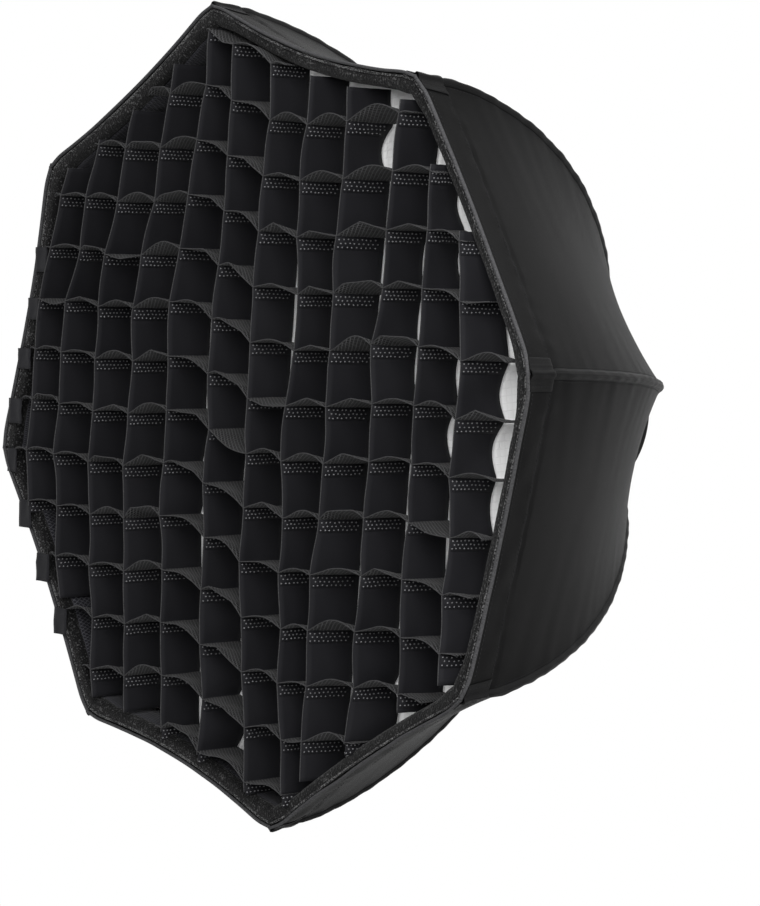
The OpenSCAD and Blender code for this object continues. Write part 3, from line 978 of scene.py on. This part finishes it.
def make_diffuser():
    low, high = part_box("diffuser_panel")
    y = (low.y + high.y) / 2 / MM - FRONT_Y
    rings, per_side = 26, 20
    points = [Vector((0, FRONT_Y + y, 0))]
    uv = [(0, 0)]
    for n in range(1, rings + 1):
        share = n / rings
        for p in outline(DIFFUSER_R, y, per_side):
            at = Vector((p.x * share, 0, p.z * share))
            crease = 0.9 * noise.noise(Vector((at.x / 60, at.z / 90, 4)))
            pull = 0.5 * share ** 6 * sin(p.angle(Vector((1, 0, 0))) * 60)
            points.append(at + Vector((0, FRONT_Y + y + (crease * (1 - share) + pull) * 1.2, 0)))
            uv.append((at.x, at.z))
    cols = RIBS * per_side
    faces = lattice(rings, cols, True, 1)
    faces += [[0, 1 + (j + 1) % cols, 1 + j] for j in range(cols)]
    piece = solidify(add("diffuser_cloth", points, faces, DIFFUSER, uv=uv), 0.5, 0)
    outfit(piece, "diffuser")
    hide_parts("diffuser_panel")
    band = [(284, 37.2), (284, 39.4), (276, 39.8), (265, 39.6), (264.5, 37.6)]
    border = solidify(ring_sheet("diffuser_band", band, 32, PILE, 0.3), 0.5, 0)
    outfit(border, "diffuser")
    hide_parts("diffuser_border")


# ---- The sleeve round the mount ----

def make_sleeve():
    """The gathered cloth between the collar and the panels, with an elastic edge."""
    profile = [(67.4, -3.2), (67.6, -8), (67.6, -15.5), (69.5, -18.5), (72, -21.5), (74.4, -24),
               (75.8, -25.6)]
    cols = 288
    points = []
    uv = []
    for n, (r, y) in enumerate(profile):
        slack = max(0, n - 1) / (len(profile) - 2)
        for c in range(cols):
            a = 2 * pi * c / cols
            gather = 0.55 * slack * sin(a * 44 + 0.8 * sin(3 * a)) + 0.3 * slack * sin(a * 17)
            points.append(Vector(((r + gather) * cos(a), y, (r + gather) * sin(a))))
            uv.append((a * r, y))
    cloth = add("rear_sleeve", points, lattice(len(profile), cols, True), COVER, uv=uv)
    piece = solidify(cloth, 0.8, 0)
    outfit(piece, "rear_mount")
    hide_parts("rear_skirt")


# ---- The buttons' return springs ----

def make_spring(n):
    """A coil under the head of a button."""
    low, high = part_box(f"release_button_{n}")
    centre = (low + high) / 2 / MM
    radius, turns, steps = 3.6, 4, 96
    bag = Bag()
    path = []
    for i in range(steps + 1):
        turned = 2 * pi * turns * i / steps
        x = centre.x + radius * cos(turned)
        z = centre.z + radius * sin(turned)
        path.append(Vector((x, 0.4 + 4.1 * i / steps, z)))
    bag.tube(path, 0.3, 8)
    piece = bag.add(f"button_spring_{n}", STEEL)
    outfit(piece, "rear_mount")
    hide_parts("button_springs")
    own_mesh(piece)


for k in range(1, RIBS + 1):
    make_panel(k)
    make_piping(k)
    make_hem(k)
    make_hem_stitches(k)
    make_rib_seam(k)
    make_pocket(k)
make_columns()
make_rows()
make_tabs()
make_end_flaps()
make_border()
make_diffuser()
make_sleeve()
make_spring(1)
make_spring(2)


# ---- Stage, light and camera ----

def soft_light(name, place, target, size, power):
    data = bpy.data.lights.new(name, "AREA")
    data.shape = "DISK"
    data.size = size
    data.energy = power
    light = bpy.data.objects.new(name, data)
    light.location = place
    light.rotation_mode = "QUATERNION"
    light.rotation_quaternion = (Vector(target) - Vector(place)).to_track_quat("-Z", "Y")
    bpy.context.scene.collection.objects.link(light)


FLOOR_Z = -1300
FLOOR_R = 5000
floor_points = [Vector((FLOOR_R * cos(radians(a)), FLOOR_R * sin(radians(a)), FLOOR_Z))
                for a in range(0, 360, 5)]
add("floor", floor_points, [list(range(len(floor_points)))],
             new_material("pale_floor", grey(0.6), 0.9)[0], smooth=False)

world = bpy.data.worlds.new("studio")
world.use_nodes = True
world.node_tree.nodes["Background"].inputs["Color"].default_value = (1, 1, 1, 1)
world.node_tree.nodes["Background"].inputs["Strength"].default_value = 1.0
bpy.context.scene.world = world
bpy.context.scene.view_settings.view_transform = "Standard"

CENTRE = (0, -0.2, 0)
soft_light("key", (1.9, 0.1, 1.2), CENTRE, 1.2, 50)
soft_light("front_fill", (1.6, -1.6, 0.6), CENTRE, 1.4, 45)

# The photograph's view: the octagon is turned a little on its mount, so the camera is rolled
TURN = radians(6.188)
AZIMUTH, ELEVATION = radians(48.325), radians(2.249)
DISTANCE = 7.184 * FRONT_R
AIM = Vector((0.4994, 0, -0.0774)) * FRONT_R


def from_upright(x, y, z):
    """A point of the upright front view, turned into the object's frame."""
    return Vector((x * cos(TURN) + z * sin(TURN), y + FRONT_Y, -x * sin(TURN) + z * cos(TURN))) * MM


away = Vector((sin(AZIMUTH) * cos(ELEVATION), -cos(AZIMUTH) * cos(ELEVATION), sin(ELEVATION)))
eye = from_upright(*(AIM + away * DISTANCE))
aim = from_upright(*AIM)
forward = (aim - eye).normalized()
right = forward.cross(Vector((sin(TURN), 0, cos(TURN)))).normalized()
upward = right.cross(forward)
camera_data = bpy.data.cameras.new("camera")
camera_data.lens = 125.74
camera_data.sensor_width = 36
camera_data.clip_end = 50
camera = bpy.data.objects.new("camera", camera_data)
camera.matrix_world = Matrix.Translation(eye) @ Matrix((right, upward, -forward)).transposed().to_4x4()
bpy.context.scene.collection.objects.link(camera)
bpy.context.scene.camera = camera
